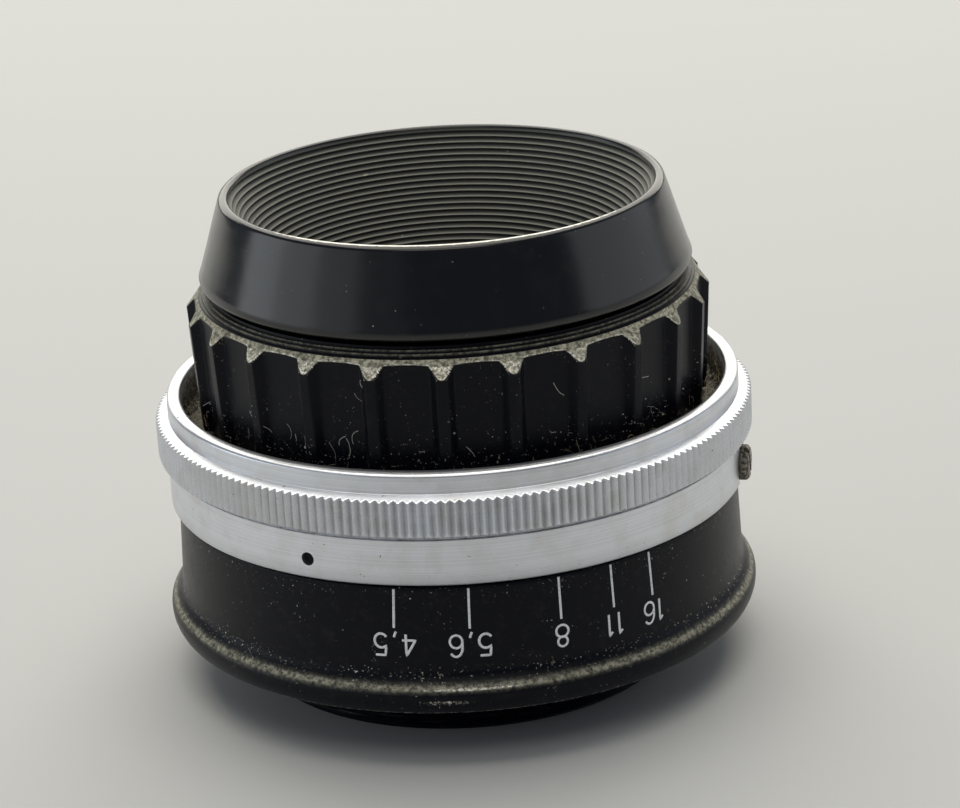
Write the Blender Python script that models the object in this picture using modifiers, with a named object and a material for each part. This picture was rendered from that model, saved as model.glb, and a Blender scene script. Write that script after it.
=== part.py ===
"""Enlarger lens, about 80 mm f/4.5, standing on its M39 screw mount with the hood up.

+Z is the optical axis, towards the hood. The origin is the centre of the mount's rear face, and
-Y is the side with the middle of the aperture scale. Lengths are written in millimetres.
"""

import math

import bmesh
import bpy
from mathutils import Matrix, Vector

MM = 0.001

# Driving sizes
KNURL_RADIUS = 27.0
KNURL_TOP = 24.41
KNURL_BOTTOM = 21.07
RING_BOTTOM = 16.63
BAND_RADIUS = 26.19
LIP_RADIUS = 25.88
LIP_INNER_RADIUS = 24.58
LIP_TOP = 26.63
RECESS_FLOOR = 23.6
SKIRT_RADIUS = 25.5
SKIRT_FOOT_RADIUS = 25.82
SKIRT_BOTTOM = 5.0
SKIRT_TOP = 16.3
GRIP_TOP_RADIUS = 23.5
GRIP_SHOULDER = 33.95
GRIP_BOTTOM_RADIUS = 22.97
GRIP_BOTTOM = 24.2
CELL_TOP = 36.3
HOOD_RIM_RADIUS = 19.85
HOOD_RIM = 44.47
HOOD_BASE_RADIUS = 22.05
MOUNT_THREAD_RADIUS = 19.5
MOUNT_BORE = 16.5
FLANGE_RADIUS = 23.9
FLANGE_TOP = 6.9
SEAT_HEIGHT = 5.2
BEARING_RADIUS = 20.7
BEARING_BORE = 21.1
CHAMBER_RADIUS = 18.3
REAR_CELL_RADIUS = 14.0
FIT_GAP = 0.3

# Glass: the domed front lens, the hollow middle lens, and the cemented pair behind the iris
FRONT_LENS_RADIUS = 11.3
MIDDLE_LENS_RADIUS = 9.4
REAR_LENS_RADIUS = 11.2
CEMENT_GAP = 0.1

# Grip ring flutes
FLUTE_COUNT = 24
FIRST_RIDGE_ANGLE = -2.2
FLUTE_FLOOR_TOP = 22.65
FLUTE_FLOOR_BOTTOM = 22.15
FLUTE_FLOOR_WIDTH = 3.86
FLUTE_SLOPE = 0.87

# Iris: every leaf turns on its own pin while the cam ring turns with the aperture ring
LEAF_COUNT = 10
LEAF_STEP = 360 / LEAF_COUNT
LEAF_PIVOT_RADIUS = 13.6
LEAF_DRIVE_ANGLE = 160
LEAF_START_ANGLE = -7
LEAF_END_ANGLE = 165
LEAF_INNER_RADIUS = 10.4
LEAF_OUTER_RADIUS = 15.0
LEAF_THICKNESS = 0.08
LEAF_RISE = 0.5 / LEAF_STEP
LEAF_HEIGHT = 14.75
LEAF_PIN_RADIUS = 0.4
LEAF_TURN = 34.2
RING_TURN = 69.4
PLATE_BOTTOM = 13.3
PLATE_TOP = 14.4
CAM_BOTTOM = 17.45
CAM_TOP = 19.35

# The drive screw joins the aperture ring to the cam ring through a slot in the barrel
DRIVE_ANGLE = -13
DRIVE_HEIGHT = 18.4
DRIVE_SHANK_RADIUS = 0.8
DRIVE_HOLE_RADIUS = 0.95
DRIVE_HEAD_RADIUS = 1.6
DRIVE_SEAT_RADIUS = 25.85
DRIVE_SEAT_WIDTH = 3.9
DRIVE_TIP_RADIUS = 16.2
INDEX_ANGLE = -120.1
INDEX_HOLE_RADIUS = 0.6

OUTER_STEPS = 48
INNER_STEPS = 36
LENS_STEPS = 32

BLACK_GLOSS = ((0.012, 0.012, 0.014), 0.22, 0.0)
BLACK_SATIN = ((0.016, 0.016, 0.019), 0.42, 0.0)
BLACK_MATT = ((0.02, 0.02, 0.02), 0.7, 0.0)
BARE_ALUMINIUM = ((0.62, 0.63, 0.66), 0.34, 1.0)
STEEL = ((0.42, 0.42, 0.43), 0.35, 1.0)
BRASS = ((0.62, 0.46, 0.2), 0.35, 1.0)
LEAF_STEEL = ((0.05, 0.05, 0.055), 0.45, 0.6)
GLASS = ((0.82, 0.88, 0.92), 0.03, 0.0)


def clear_scene():
    for obj in list(bpy.data.objects):
        bpy.data.objects.remove(obj)


def new_collection(name):
    collection = bpy.data.collections.new(name)
    bpy.context.scene.collection.children.link(collection)
    return collection


def add_material(obj, look):
    colour, roughness, metallic = look
    material = bpy.data.materials.new(obj.name)
    material.use_nodes = True
    shader = material.node_tree.nodes["Principled BSDF"]
    shader.inputs["Base Color"].default_value = (*colour, 1.0)
    shader.inputs["Roughness"].default_value = roughness
    shader.inputs["Metallic"].default_value = metallic
    obj.data.materials.append(material)


def add_object(name, mesh, collection, place=(0, 0, 0)):
    obj = bpy.data.objects.new(name, mesh)
    obj.location = Vector(place) * MM
    collection.objects.link(obj)
    return obj


def mesh_from(name, form):
    mesh = bpy.data.meshes.new(name)
    form.to_mesh(mesh)
    form.free()
    return mesh


def turned(name, profile, look, steps=OUTER_STEPS, solid=False, place=(0, 0, 0)):
    """A turned piece. The profile runs down the outer side; a ring closes it up the inner side."""
    form = bmesh.new()
    points = [form.verts.new((radius * MM, 0, height * MM)) for radius, height in profile]
    for first, second in zip(points, points[1:]):
        form.edges.new((first, second))
    if not solid:
        form.edges.new((points[-1], points[0]))
    obj = add_object(name, mesh_from(name, form), parts, place)
    screw = obj.modifiers.new("Turn", "SCREW")
    screw.axis = "Z"
    screw.steps = steps
    screw.render_steps = steps
    screw.use_merge_vertices = True
    screw.merge_threshold = 1e-6
    screw.use_smooth_shade = True
    add_material(obj, look)
    return obj


def dome(vertex, radius, edge, count, sign):
    """A lens surface as (radius, height) points from the axis out to edge; sign +1 falls outwards."""
    points = []
    for index in range(count + 1):
        at = edge * index / count
        points.append((at, vertex - sign * (radius - math.sqrt(radius**2 - at**2))))
    return points


def add_cutter(name, form):
    cutter = add_object(name, mesh_from(name, form), cutters)
    cutter.hide_render = True
    cutter.display_type = "WIRE"
    return cutter


def cut(obj, cutter):
    modifier = obj.modifiers.new(cutter.name, "BOOLEAN")
    modifier.operation = "DIFFERENCE"
    modifier.solver = "EXACT"
    modifier.object = cutter


def add_cylinder(form, radius, depth, matrix, segments):
    bmesh.ops.create_cone(
        form,
        cap_ends=True,
        segments=segments,
        radius1=radius * MM,
        radius2=radius * MM,
        depth=depth * MM,
        matrix=matrix,
    )


def radial_matrix(angle, radius, height):
    """Puts a cylinder's axis along the radius at angle degrees from +X."""
    turn = Matrix.Rotation(math.radians(angle), 4, "Z")
    place = Matrix.Translation(Vector((radius, 0, height)) * MM)
    return turn @ place @ Matrix.Rotation(math.radians(90), 4, "Y")


def radial_cutter(name, angle, inner, outer, height, radius, segments=16):
    form = bmesh.new()
    matrix = radial_matrix(angle, (inner + outer) / 2, height)
    add_cylinder(form, radius, outer - inner, matrix, segments)
    return add_cutter(name, form)


def add_slab(form, columns, rows, place, thickness):
    """A closed sheet: a grid laid out by place(u, v), u and v from 0 to 1, and made thick along +Z."""
    made = bmesh.ops.create_grid(form, x_segments=columns, y_segments=rows, size=0.5)
    sheet = made["verts"]
    for vert in sheet:
        vert.co = Vector(place(vert.co.x + 0.5, vert.co.y + 0.5)) * MM
    faces = list({face for vert in sheet for face in vert.link_faces})
    top = bmesh.ops.extrude_face_region(form, geom=faces)["geom"]
    lifted = [item for item in top if isinstance(item, bmesh.types.BMVert)]
    bmesh.ops.translate(form, verts=lifted, vec=(0, 0, thickness * MM))
    bmesh.ops.recalc_face_normals(form, faces=form.faces)


def polar(radius, angle):
    return radius * math.cos(math.radians(angle)), radius * math.sin(math.radians(angle))


def skirt_profile():
    """A slightly tapered neck, a short soft shoulder, and a rounded bead at the foot."""
    shoulder_top = 8.6
    shoulder_bottom = 6.6
    flange_room = FLANGE_RADIUS + 0.5
    ceiling = FLANGE_TOP + FIT_GAP
    shoulder = KNURL_RADIUS - SKIRT_FOOT_RADIUS
    chamfer = 0.25
    outer = [(BEARING_BORE, SKIRT_TOP), (SKIRT_RADIUS - chamfer, SKIRT_TOP)]
    outer += [(SKIRT_RADIUS, SKIRT_TOP - chamfer)]
    steps = 6
    for index in range(steps + 1):
        share = index / steps
        radius = SKIRT_FOOT_RADIUS + shoulder * (1 - math.cos(math.pi * share)) / 2
        outer.append((radius, shoulder_top + (shoulder_bottom - shoulder_top) * share))
    outer += [(KNURL_RADIUS, 6.1), (26.85, 5.5), (26.45, SKIRT_BOTTOM)]
    return outer + [(flange_room, SKIRT_BOTTOM), (flange_room, ceiling), (BEARING_BORE, ceiling)]


def make_mount_flange():
    chamfer = 0.4
    flange = [(MOUNT_BORE, FLANGE_TOP), (FLANGE_RADIUS, FLANGE_TOP), (FLANGE_RADIUS, SEAT_HEIGHT)]
    stub = [(MOUNT_THREAD_RADIUS, SEAT_HEIGHT), (MOUNT_THREAD_RADIUS, chamfer)]
    rear_face = [(MOUNT_THREAD_RADIUS - chamfer, 0), (MOUNT_BORE, 0)]
    turned("mount_flange", flange + stub + rear_face, BLACK_SATIN)


def make_scale_skirt():
    turned("scale_skirt", skirt_profile(), BLACK_SATIN)


def make_main_barrel():
    top = 27.0
    bottom = 0.6
    chamber_floor = PLATE_BOTTOM - FIT_GAP
    shoulder = FLANGE_TOP + FIT_GAP
    neck = MOUNT_BORE - FIT_GAP
    bore = REAR_CELL_RADIUS + FIT_GAP
    profile = [(CHAMBER_RADIUS, top), (BEARING_RADIUS, top), (BEARING_RADIUS, shoulder), (neck, shoulder)]
    profile += [(neck, bottom), (bore, bottom), (bore, chamber_floor), (CHAMBER_RADIUS, chamber_floor)]
    barrel = turned("main_barrel", profile, BLACK_MATT, INNER_STEPS)
    cut(barrel, drive_slot_cutter())


def drive_slot_cutter():
    """The slot that the drive screw sweeps: the ring's turn and a few degrees at each end."""
    spare = 4
    half_height = 1.15
    inside = CHAMBER_RADIUS - 0.8
    outside = BEARING_RADIUS + 0.8
    form = bmesh.new()

    def place(u, v):
        angle = DRIVE_ANGLE - spare + u * (RING_TURN + 2 * spare)
        x, y = polar(inside + (outside - inside) * v, angle)
        return x, y, DRIVE_HEIGHT - half_height

    add_slab(form, 12, 1, place, 2 * half_height)
    return add_cutter("drive_slot", form)


def make_front_cell():
    """Fluted grip ring and lens cell in one: it screws into the barrel and carries the front group."""
    hood_seat = 17.5
    stem_radius = CHAMBER_RADIUS - FIT_GAP
    stem_bottom = 20.9
    barrel_stop = 27.35
    middle_bore = MIDDLE_LENS_RADIUS + FIT_GAP
    front_bore = FRONT_LENS_RADIUS + 0.4
    land = 8.4
    top = [(hood_seat, CELL_TOP), (21.6, CELL_TOP)]
    steps = [(21.6, 36.05), (21.85, 36.05), (21.85, 35.82), (22.0, 35.82)]
    grip = [(GRIP_TOP_RADIUS, GRIP_SHOULDER), (GRIP_BOTTOM_RADIUS, GRIP_BOTTOM), (BEARING_BORE, GRIP_BOTTOM)]
    stem = [(BEARING_BORE, barrel_stop), (stem_radius, barrel_stop), (stem_radius, stem_bottom)]
    seats = [(middle_bore, stem_bottom), (middle_bore, 23.9), (land, 23.9), (land, 25.1)]
    seats += [(front_bore, 25.1), (front_bore, 29.9), (hood_seat, 29.9)]
    cell = turned("front_cell", top + steps + grip + stem + seats, BLACK_SATIN)
    cut(cell, flute_cutter())


def flute_cutter():
    """Wide flat-bottomed flutes, leaving a narrow tapered ridge between each pair."""
    low = GRIP_BOTTOM - 1
    high = 37.0
    outside = 25.0
    form = bmesh.new()
    for index in range(FLUTE_COUNT):
        angle = FIRST_RIDGE_ANGLE + (index + 0.5) * 360 / FLUTE_COUNT
        turn = Matrix.Rotation(math.radians(angle), 4, "Z")
        made = bmesh.ops.create_cube(form, size=2)
        for vert in made["verts"]:
            floor = FLUTE_FLOOR_TOP if vert.co.z > 0 else FLUTE_FLOOR_BOTTOM
            radius = outside if vert.co.x > 0 else floor
            half_width = FLUTE_FLOOR_WIDTH / 2 + FLUTE_SLOPE * (radius - floor)
            height = high if vert.co.z > 0 else low
            vert.co = turn @ (Vector((radius, half_width * vert.co.y, height)) * MM)
    return add_cutter("flutes", form)


def make_front_hood():
    """Conical hood. Its spigot sits in the front cell, and its bore narrows to the front lens."""
    wall = 0.9
    chamfer = 0.25
    seat = CELL_TOP + FIT_GAP
    spigot_radius = 17.2
    throat = 11.0
    throat_height = 30.2
    rim = [(HOOD_RIM_RADIUS - wall, HOOD_RIM), (HOOD_RIM_RADIUS - chamfer, HOOD_RIM)]
    skirt = [(HOOD_RIM_RADIUS, HOOD_RIM - chamfer), (21.85, 37.75), (HOOD_BASE_RADIUS, 37.3), (21.95, 36.95)]
    spigot = [(21.3, seat), (spigot_radius, seat), (spigot_radius, throat_height), (throat, throat_height)]
    turned("front_hood", rim + skirt + spigot, BLACK_GLOSS)


def make_lens(name, front, back):
    turned(name, front + back[::-1], GLASS, LENS_STEPS, solid=True)


def make_front_group():
    edge = FRONT_LENS_RADIUS
    make_lens("front_lens", dome(29.5, 26, edge, 6, 1), [(0, 25.4), (edge, 25.4)])
    ring_piece("front_lens_retainer", edge - 0.9, edge + 0.1, 27.5, 29.0, BLACK_MATT)
    edge = MIDDLE_LENS_RADIUS
    make_lens("middle_lens", dome(22.86, 60, edge, 4, -1), dome(22.27, 120, edge, 4, 1))
    ring_piece("middle_lens_retainer", edge - 1.1, edge, 21.0, 21.6, BLACK_MATT)


def make_rear_group():
    edge = REAR_LENS_RADIUS
    land = 9.4
    bore = edge + 0.4
    outer = [(land, 12.6), (REAR_CELL_RADIUS, 12.6), (REAR_CELL_RADIUS, 1.6)]
    inner = [(bore, 1.6), (bore, 10.9), (land, 10.9)]
    turned("rear_cell", outer + inner, BLACK_MATT, INNER_STEPS)
    cemented = dome(9.2, 20, edge, 6, 1)
    raised = [(radius, height + CEMENT_GAP) for radius, height in cemented]
    make_lens("rear_doublet_front_element", [(0, 10.5), (edge, 10.5)], raised)
    make_lens("rear_doublet_rear_element", cemented, dome(3.06, 28, edge, 6, -1))
    ring_piece("rear_lens_retainer", edge - 1, edge + 0.1, 2.6, 4.6, BRASS)


def ring_piece(name, inner, outer, bottom, top, look):
    profile = [(inner, top), (outer, top), (outer, bottom), (inner, bottom)]
    return turned(name, profile, look, INNER_STEPS)


def make_aperture_ring():
    """A lip round a recess, the knurled band, and a plain band with the index hole and drive screw."""
    edge = 0.1
    chamfer = 0.18
    groove_radius = 26.0
    groove_bottom = 20.78
    outside = KNURL_RADIUS + 1
    inside = BEARING_BORE - 1
    lip = [(LIP_INNER_RADIUS, LIP_TOP), (LIP_RADIUS - edge, LIP_TOP), (LIP_RADIUS, LIP_TOP - edge)]
    knurl = [(LIP_RADIUS, 24.8), (KNURL_RADIUS, KNURL_TOP), (KNURL_RADIUS, KNURL_BOTTOM + chamfer)]
    groove = [(KNURL_RADIUS - chamfer, KNURL_BOTTOM), (groove_radius, KNURL_BOTTOM)]
    groove += [(groove_radius, groove_bottom), (BAND_RADIUS, groove_bottom)]
    band = [(BAND_RADIUS, RING_BOTTOM + chamfer), (BAND_RADIUS - chamfer, RING_BOTTOM)]
    inner = [(BEARING_BORE, RING_BOTTOM), (BEARING_BORE, RECESS_FLOOR), (LIP_INNER_RADIUS, RECESS_FLOOR)]
    ring = turned("aperture_ring", lip + knurl + groove + band + inner, BARE_ALUMINIUM)
    cut(ring, radial_cutter("drive_hole", DRIVE_ANGLE, inside, outside, DRIVE_HEIGHT, DRIVE_HOLE_RADIUS))
    seat = radial_cutter(
        "drive_seat", DRIVE_ANGLE, DRIVE_SEAT_RADIUS, outside, DRIVE_HEIGHT, DRIVE_SEAT_WIDTH / 2
    )
    cut(ring, seat)
    hole = radial_cutter(
        "index_hole", INDEX_ANGLE, LIP_INNER_RADIUS, outside, DRIVE_HEIGHT, INDEX_HOLE_RADIUS
    )
    cut(ring, hole)


def make_drive_screw():
    """Cheese-head screw, slotted, along the radius at DRIVE_ANGLE."""
    head_bottom = DRIVE_SEAT_RADIUS + 0.1
    head_top = KNURL_RADIUS - 0.05
    overlap = 0.3
    slot_width = 0.5
    slot_depth = 0.5
    form = bmesh.new()
    shank_length = head_bottom + overlap - DRIVE_TIP_RADIUS
    shank_middle = DRIVE_TIP_RADIUS + shank_length / 2
    shank_matrix = radial_matrix(DRIVE_ANGLE, shank_middle, DRIVE_HEIGHT)
    add_cylinder(form, DRIVE_SHANK_RADIUS, shank_length, shank_matrix, 16)
    screw = add_object("drive_screw", mesh_from("drive_screw", form), parts)
    form = bmesh.new()
    head_matrix = radial_matrix(DRIVE_ANGLE, (head_bottom + head_top) / 2, DRIVE_HEIGHT)
    add_cylinder(form, DRIVE_HEAD_RADIUS, head_top - head_bottom, head_matrix, 24)
    head = add_cutter("drive_screw_head", form)
    join = screw.modifiers.new("Head", "BOOLEAN")
    join.operation = "UNION"
    join.solver = "EXACT"
    join.object = head
    form = bmesh.new()
    slot_size = Matrix.Diagonal((3 * DRIVE_HEAD_RADIUS * MM, slot_width * MM, 2 * slot_depth * MM, 1))
    slot_place = radial_matrix(DRIVE_ANGLE, head_top, DRIVE_HEIGHT)
    bmesh.ops.create_cube(form, size=1, matrix=slot_place @ slot_size)
    cut(screw, add_cutter("screwdriver_slot", form))
    add_material(screw, STEEL)


def drive_pin_path(share):
    """Where a leaf's drive pin stands in the cam ring, as (radius, angle), share of the way closed."""
    turn = math.radians(LEAF_TURN * share)
    x, y = polar(LEAF_PIVOT_RADIUS, LEAF_DRIVE_ANGLE)
    x -= LEAF_PIVOT_RADIUS
    swung_x = LEAF_PIVOT_RADIUS + x * math.cos(turn) - y * math.sin(turn)
    swung_y = x * math.sin(turn) + y * math.cos(turn)
    angle = math.degrees(math.atan2(swung_y, swung_x)) % 360
    return math.hypot(swung_x, swung_y), angle - RING_TURN * share


def cam_slot_cutter():
    """Ten straight slots. Each runs from where its leaf's drive pin stands nearest the axis, which
    is a third of the way closed, out to where the pin stands when the iris is fully closed."""
    room = LEAF_PIN_RADIUS + 0.3
    near = Vector(polar(*drive_pin_path(1 / 3)))
    far = Vector(polar(*drive_pin_path(1)))
    middle = (near + far) / 2
    heading = math.atan2(far.y - near.y, far.x - near.x)
    size = Matrix.Diagonal(((far - near).length + 2 * room, 2 * room, CAM_TOP - CAM_BOTTOM + 1, 1))
    form = bmesh.new()
    for index in range(LEAF_COUNT):
        start = Matrix.Rotation(math.radians(index * LEAF_STEP), 4, "Z")
        place = Matrix.Translation(Vector((*middle, (CAM_TOP + CAM_BOTTOM) / 2)) * MM)
        turn = Matrix.Rotation(heading, 4, "Z")
        bmesh.ops.create_cube(form, size=MM, matrix=start @ place @ turn @ size)
    return add_cutter("cam_slots", form)


def make_iris_cam_ring():
    outer = CHAMBER_RADIUS - 0.4
    hole_floor = DRIVE_TIP_RADIUS - FIT_GAP
    cam = ring_piece("iris_cam_ring", 11.8, outer, CAM_BOTTOM, CAM_TOP, BRASS)
    cut(cam, cam_slot_cutter())
    hole = radial_cutter(
        "cam_screw_hole", DRIVE_ANGLE, hole_floor, outer + 1, DRIVE_HEIGHT, DRIVE_HOLE_RADIUS, 12
    )
    cut(cam, hole)


def make_iris_pivot_plate():
    outer = CHAMBER_RADIUS - FIT_GAP
    plate = ring_piece("iris_pivot_plate", 9.4, outer, PLATE_BOTTOM, PLATE_TOP, BLACK_MATT)
    form = bmesh.new()
    for index in range(LEAF_COUNT):
        x, y = polar(LEAF_PIVOT_RADIUS, index * LEAF_STEP)
        matrix = Matrix.Translation(Vector((x, y, PLATE_TOP)) * MM)
        add_cylinder(form, LEAF_PIN_RADIUS + 0.25, 4, matrix, 10)
    cut(plate, add_cutter("pivot_holes", form))


def leaf_mesh():
    """One iris leaf about its pivot pin: a crescent that climbs from pin to pin, so leaves overlap."""

    def place(u, v):
        angle = LEAF_START_ANGLE + u * (LEAF_END_ANGLE - LEAF_START_ANGLE)
        x, y = polar(LEAF_INNER_RADIUS + v * (LEAF_OUTER_RADIUS - LEAF_INNER_RADIUS), angle)
        return x - LEAF_PIVOT_RADIUS, y, LEAF_RISE * angle

    form = bmesh.new()
    add_slab(form, 26, 1, place, LEAF_THICKNESS)
    leaf = add_object("leaf_pattern", mesh_from("leaf_pattern", form), parts)
    drive_x, drive_y = polar(LEAF_PIVOT_RADIUS, LEAF_DRIVE_ANGLE)
    drive_foot = LEAF_RISE * LEAF_DRIVE_ANGLE + LEAF_THICKNESS / 2
    pivot_tip = -1.25
    drive_tip = 4.1
    pivot_pin = (0, 0, pivot_tip, LEAF_THICKNESS / 2)
    pins = [pivot_pin, (drive_x - LEAF_PIVOT_RADIUS, drive_y, drive_foot, drive_tip)]
    for number, (x, y, low, high) in enumerate(pins):
        form = bmesh.new()
        matrix = Matrix.Translation(Vector((x, y, (low + high) / 2)) * MM)
        add_cylinder(form, LEAF_PIN_RADIUS, high - low, matrix, 8)
        join = leaf.modifiers.new(f"Pin {number}", "BOOLEAN")
        join.operation = "UNION"
        join.solver = "EXACT"
        join.object = add_cutter(f"leaf_pin_{number}", form)
    graph = bpy.context.evaluated_depsgraph_get()
    mesh = bpy.data.meshes.new_from_object(leaf.evaluated_get(graph))
    bpy.data.objects.remove(leaf)
    return mesh


def make_leaves():
    mesh = leaf_mesh()
    mesh.name = "iris_leaf"
    for index in range(LEAF_COUNT):
        x, y = polar(LEAF_PIVOT_RADIUS, index * LEAF_STEP)
        leaf = add_object(f"iris_leaf_{index + 1:02d}", mesh, parts, (x, y, LEAF_HEIGHT))
        leaf.rotation_euler.z = math.radians(index * LEAF_STEP)
    add_material(bpy.data.objects["iris_leaf_01"], LEAF_STEEL)


clear_scene()
parts = new_collection("enlarger_lens")
cutters = new_collection("cutters")
make_mount_flange()
make_scale_skirt()
make_main_barrel()
make_rear_group()
make_iris_pivot_plate()
make_leaves()
make_iris_cam_ring()
ring_piece("cam_retaining_ring", 16.4, CHAMBER_RADIUS - FIT_GAP, CAM_TOP + FIT_GAP, 20.6, BRASS)
make_aperture_ring()
make_drive_screw()
make_front_cell()
make_front_group()
make_front_hood()
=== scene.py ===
"""Looks of the enlarger lens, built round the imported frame. Lengths in mm are scaled by MM."""
import math
import random

import bmesh
import bpy
import numpy as np
from mathutils import Matrix, Vector


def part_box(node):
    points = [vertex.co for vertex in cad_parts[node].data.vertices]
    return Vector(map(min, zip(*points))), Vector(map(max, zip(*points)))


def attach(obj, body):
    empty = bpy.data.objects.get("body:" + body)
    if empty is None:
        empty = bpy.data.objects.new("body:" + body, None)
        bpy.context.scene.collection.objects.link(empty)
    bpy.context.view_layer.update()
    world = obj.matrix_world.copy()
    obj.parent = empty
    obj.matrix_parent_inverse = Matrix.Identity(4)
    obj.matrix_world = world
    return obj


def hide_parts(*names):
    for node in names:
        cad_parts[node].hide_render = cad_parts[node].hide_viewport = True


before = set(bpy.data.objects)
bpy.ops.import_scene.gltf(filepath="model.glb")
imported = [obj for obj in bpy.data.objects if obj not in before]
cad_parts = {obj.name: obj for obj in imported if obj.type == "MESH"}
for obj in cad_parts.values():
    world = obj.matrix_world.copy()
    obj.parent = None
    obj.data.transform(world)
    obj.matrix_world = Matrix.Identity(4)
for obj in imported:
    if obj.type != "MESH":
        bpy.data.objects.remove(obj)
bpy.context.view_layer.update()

MM = 0.001
BARREL = "lens_barrel"
CONTROL = "aperture_control"
SHARP_ANGLE = math.radians(38)
random.seed(7)


def reach(node):
    """A turned node's largest radius, lowest height and highest height, in mm."""
    low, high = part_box(node)
    return max(high[0], high[1]) / MM, low[2] / MM, high[2] / MM


HOOD_BASE_RADIUS, HOOD_FOOT, HOOD_RIM = reach("front_hood")
GRIP_RADIUS, CELL_STEM, CELL_TOP = reach("front_cell")
KNURL_RADIUS, RING_BOTTOM, LIP_TOP = reach("aperture_ring")
SKIRT_FOOT_RADIUS, SKIRT_BOTTOM, SKIRT_TOP = reach("scale_skirt")
FLANGE_RADIUS, MOUNT_BOTTOM, FLANGE_TOP = reach("mount_flange")
BEARING_RADIUS, BARREL_BOTTOM, BARREL_TOP = reach("main_barrel")

# Hood
RIM_RADIUS = 19.85
RIM_WALL = 0.92
HOOD_BORE_FOOT = 11.0
HOOD_SKIRT_FOOT = 36.6
RIB_COUNT = 27
RIB_PITCH = 0.507
RIB_DEPTH = 0.26

# Grip ring
FLUTES = 24
FIRST_RIDGE = -2.2
FLUTE_LOW = (23.2, 22.15)
FLUTE_HIGH = (37.0, 22.65)
FLUTE_HALF_FLOOR = 1.93
FLUTE_SLOPE = 0.87
CHAMFER_TOP = 35.42
CHAMFER_TOP_RADIUS = 22.32
STEP_EDGES = ((22.2, 35.5), (21.95, 35.78), (21.62, 36.04))
GRIP_SHOULDER = 33.95
SLOPE_INNER = 22.25
TONGUE_TOP = 34.95
GRIP_BOTTOM = 24.2
GRIP_BOTTOM_RADIUS = 22.97

# Aperture ring
TEETH = 212
TOOTH_DEPTH = 0.42
LIP_RADIUS = 25.88
LIP_INNER = 24.58
KNURL_TOP = 24.41
KNURL_BOTTOM = 21.07
BAND_RADIUS = 26.19
RECESS_FLOOR = 23.6
BORE = 21.1
DRIVE_HEIGHT = 18.4
DRIVE_ANGLE = -13
DRIVE_HOLE_RADIUS = 0.95
DRIVE_SEAT_RADIUS = 1.95
RING_TURN = 69.4
INDEX_ANGLE = -120.1
INDEX_HOLE_RADIUS = 0.6

# Skirt
NECK_RADIUS = 25.5
NECK_TAPER = 0.042
SHOULDER_TOP = 8.6
SHOULDER_BOTTOM = 6.6
# Height of the olive band on the shoulder: dulled paint with painted highlight.
WORN_AND_LIT_HEIGHT = 7.35
SCUFF_HEIGHT = 6.15
SCUFF_ANGLE = 265

# Stop scale. Angles run round from -Y towards +X. It falls slightly towards its last stop, and its
# lines fan out slightly towards their feet.
STOPS = ("4,5", "5,6", "8", "11", "16")
FIRST_STOP_ANGLE = -13.6
SCALE_TURN = 52.3
SCALE_FALL = 0.5
LINE_FAN = 1.013
LINE_TOP = 16.05
LINE_FOOT = 12.55
TEXT_DROP = 0.57
DIGIT_HEIGHT = 1.95
DIGIT_WIDTH = 1.15
DIGIT_GAP = 0.43
STROKE = 0.3
STROKE_PROUD = 0.055

# Iris
LEAVES = 10
LEAF_PITCH = 360 / LEAVES
LEAF_START = -7
LEAF_SPAN = 172
LEAF_DRIVE_ANGLE = 160
LEAF_BASE = 14.75
LEAF_THICKNESS = 0.08
LEAF_RISE = 0.5 / 36
LEAF_INNER = 10.4
LEAF_OUTER = 15.0
LEAF_PIVOT_RADIUS = 13.6
LEAF_PIN_RADIUS = 0.4

# Loose dirt: how many of each
RECESS_CRUMBS = 2600
GRIP_CRUMBS = 300
PALE_FIBRES = 85
BROWN_FIBRES = 90


# ---------------------------------------------------------------- meshes


def soften(points, size, steps=3, closed=True):
    """Rounds every corner of an outline by up to size."""
    count = len(points)
    made = []
    for index, here in enumerate(points):
        if not closed and index in (0, count - 1):
            made.append(here)
            continue
        here = Vector(here)
        before = Vector(points[index - 1]) - here
        after = Vector(points[(index + 1) % count]) - here
        cut = min(size, before.length * 0.45, after.length * 0.45)
        start = here + before.normalized() * cut
        end = here + after.normalized() * cut
        for step in range(steps + 1):
            share = step / steps
            spot = start * (1 - share) ** 2 + here * 2 * share * (1 - share) + end * share**2
            made.append((spot.x, spot.y))
    return made


def finer(points, longest, closed=True):
    """Adds points so that no stretch of the outline is longer than longest."""
    made = []
    last = len(points) if closed else len(points) - 1
    for index in range(last):
        here = Vector(points[index])
        there = Vector(points[(index + 1) % len(points)])
        pieces = max(1, math.ceil((there - here).length / longest - 1e-6))
        for step in range(pieces):
            spot = here.lerp(there, step / pieces)
            made.append((spot.x, spot.y))
    if not closed:
        made.append(points[-1])
    return made


def smooth_min(a, b, width):
    """The smaller of a and b, with the crease between them rounded over width."""
    share = np.clip(0.5 + 0.5 * (b - a) / width, 0, 1)
    return b + (a - b) * share - width * share * (1 - share)


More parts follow.
